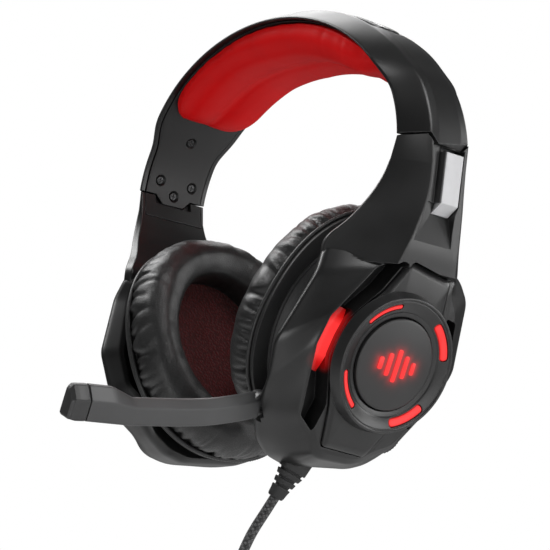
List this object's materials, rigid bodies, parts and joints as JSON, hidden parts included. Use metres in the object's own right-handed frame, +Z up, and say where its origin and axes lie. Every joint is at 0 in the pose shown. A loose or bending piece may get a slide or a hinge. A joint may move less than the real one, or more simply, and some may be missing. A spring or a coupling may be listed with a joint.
{
  "type": "gaming headset",
  "caption": "Over-ear gaming headset with an angular black shell, red headband cushion, glowing red ring lights, boom microphone and braided lead.",
  "frame": {"origin": "underside of the headband cushion at its middle, where it rests on the crown of the head", "axes": "+Z up, the wearer faces -Y, +X is the wearer's left, the side with the microphone and lead"},
  "size_m": [0.198, 0.1665, 0.4235],
  "materials": {
    "satin_black": "satin fine-grained black",
    "gloss_black": "gloss black",
    "matte_black": "matte charcoal",
    "ring_black": "satin black, turned steps",
    "disc_grey": "satin dark grey paint",
    "boom_grey": "matte dark grey",
    "boom_cap": "matte dark grey",
    "red_fabric": "bright red satin-faced cloth",
    "red_cloth": "dark red speaker cloth",
    "leatherette": "soft black leatherette, creased",
    "red_light": "diffusing red light guide, lit",
    "circuit_board": "green circuit board",
    "driver_can": "brushed",
    "spring_steel": "cold rolled",
    "plug_steel": "bright nickel",
    "dark_screw": "black oxide",
    "satin_aluminium": "brushed satin",
    "black_rubber": "matte moulded",
    "braided_cable": "grey and black braid"
  },
  "bodies": {
    "headband": {"headband_shell": "satin_black", "headband_top_panel": "gloss_black", "headband_liner": "matte_black", "headband_cushion": "red_fabric", "headband_spring": "spring_steel", "liner_screw_left_1": "dark_screw", "liner_screw_right_1": "dark_screw", "liner_screw_left_2": "dark_screw", "liner_screw_right_2": "dark_screw", "liner_screw_left_3": "dark_screw", "liner_screw_right_3": "dark_screw", "liner_screw_left_4": "dark_screw", "liner_screw_right_4": "dark_screw"},
    "slider_left": {"left_slider_rail": "spring_steel", "left_earcup_shell": "satin_black", "left_arm_inner_cover": "satin_black", "left_arm_strip": "satin_aluminium", "left_face_plate": "satin_black", "left_ring_bezel": "ring_black", "left_light_guide": "red_light", "left_led_board": "circuit_board", "left_centre_disc": "disc_grey", "left_disc_mark": "red_light", "left_vent_light": "red_light", "left_tilt_pin": "spring_steel", "volume_pot": "circuit_board", "strain_relief": "black_rubber", "cable": "braided_cable", "cable_hank": "braided_cable", "cable_tail": "braided_cable", "hank_tie": "black_rubber", "usb_plug_body": "black_rubber", "usb_plug_shell": "plug_steel"},
    "slider_right": {"right_slider_rail": "spring_steel", "right_earcup_shell": "satin_black", "right_arm_inner_cover": "satin_black", "right_arm_strip": "satin_aluminium", "right_face_plate": "satin_black", "right_ring_bezel": "ring_black", "right_light_guide": "red_light", "right_led_board": "circuit_board", "right_centre_disc": "disc_grey", "right_disc_mark": "red_light", "right_vent_light": "red_light", "right_tilt_pin": "spring_steel"},
    "cup_left": {"left_inner_cup": "matte_black", "left_driver": "driver_can", "left_driver_cloth": "red_cloth", "left_pad_ring": "matte_black", "left_ear_pad": "leatherette"},
    "cup_right": {"right_inner_cup": "matte_black", "right_driver": "driver_can", "right_driver_cloth": "red_cloth", "right_pad_ring": "matte_black", "right_ear_pad": "leatherette"},
    "mic_boom": {"mic_boom": "boom_grey", "mic_tip_cap": "boom_cap", "mic_capsule": "driver_can"},
    "volume_wheel": {"volume_wheel": "black_rubber"}
  },
  "joints": [
    {"name": "left_slide", "type": "slide", "parent": "headband", "child": "slider_left", "axis": [0.2756, 0, -0.9613], "range_m": [0, 0.016]},
    {"name": "right_slide", "type": "slide", "parent": "headband", "child": "slider_right", "axis": [-0.2756, 0, -0.9613], "range_m": [0, 0.016]},
    {"name": "left_tilt", "type": "hinge", "parent": "slider_left", "child": "cup_left", "pos_m": [0.05866, 0, -0.12727], "axis": [0, 1, 0], "range_deg": [-4, 4]},
    {"name": "right_tilt", "type": "hinge", "parent": "slider_right", "child": "cup_right", "pos_m": [-0.05866, 0, -0.12727], "axis": [0, 1, 0], "range_deg": [-4, 4]},
    {"name": "boom_swing", "type": "hinge", "parent": "slider_left", "child": "mic_boom", "pos_m": [0.04203, -0.0346, -0.15238], "axis": [-0.9438, 0, 0.3305], "range_deg": [0, 60]},
    {"name": "volume_turn", "type": "hinge", "parent": "slider_left", "child": "volume_wheel", "pos_m": [0.04855, 0.0232, -0.15615], "axis": [0.9438, 0, -0.3305], "range_deg": [-135, 135]}
  ]
}
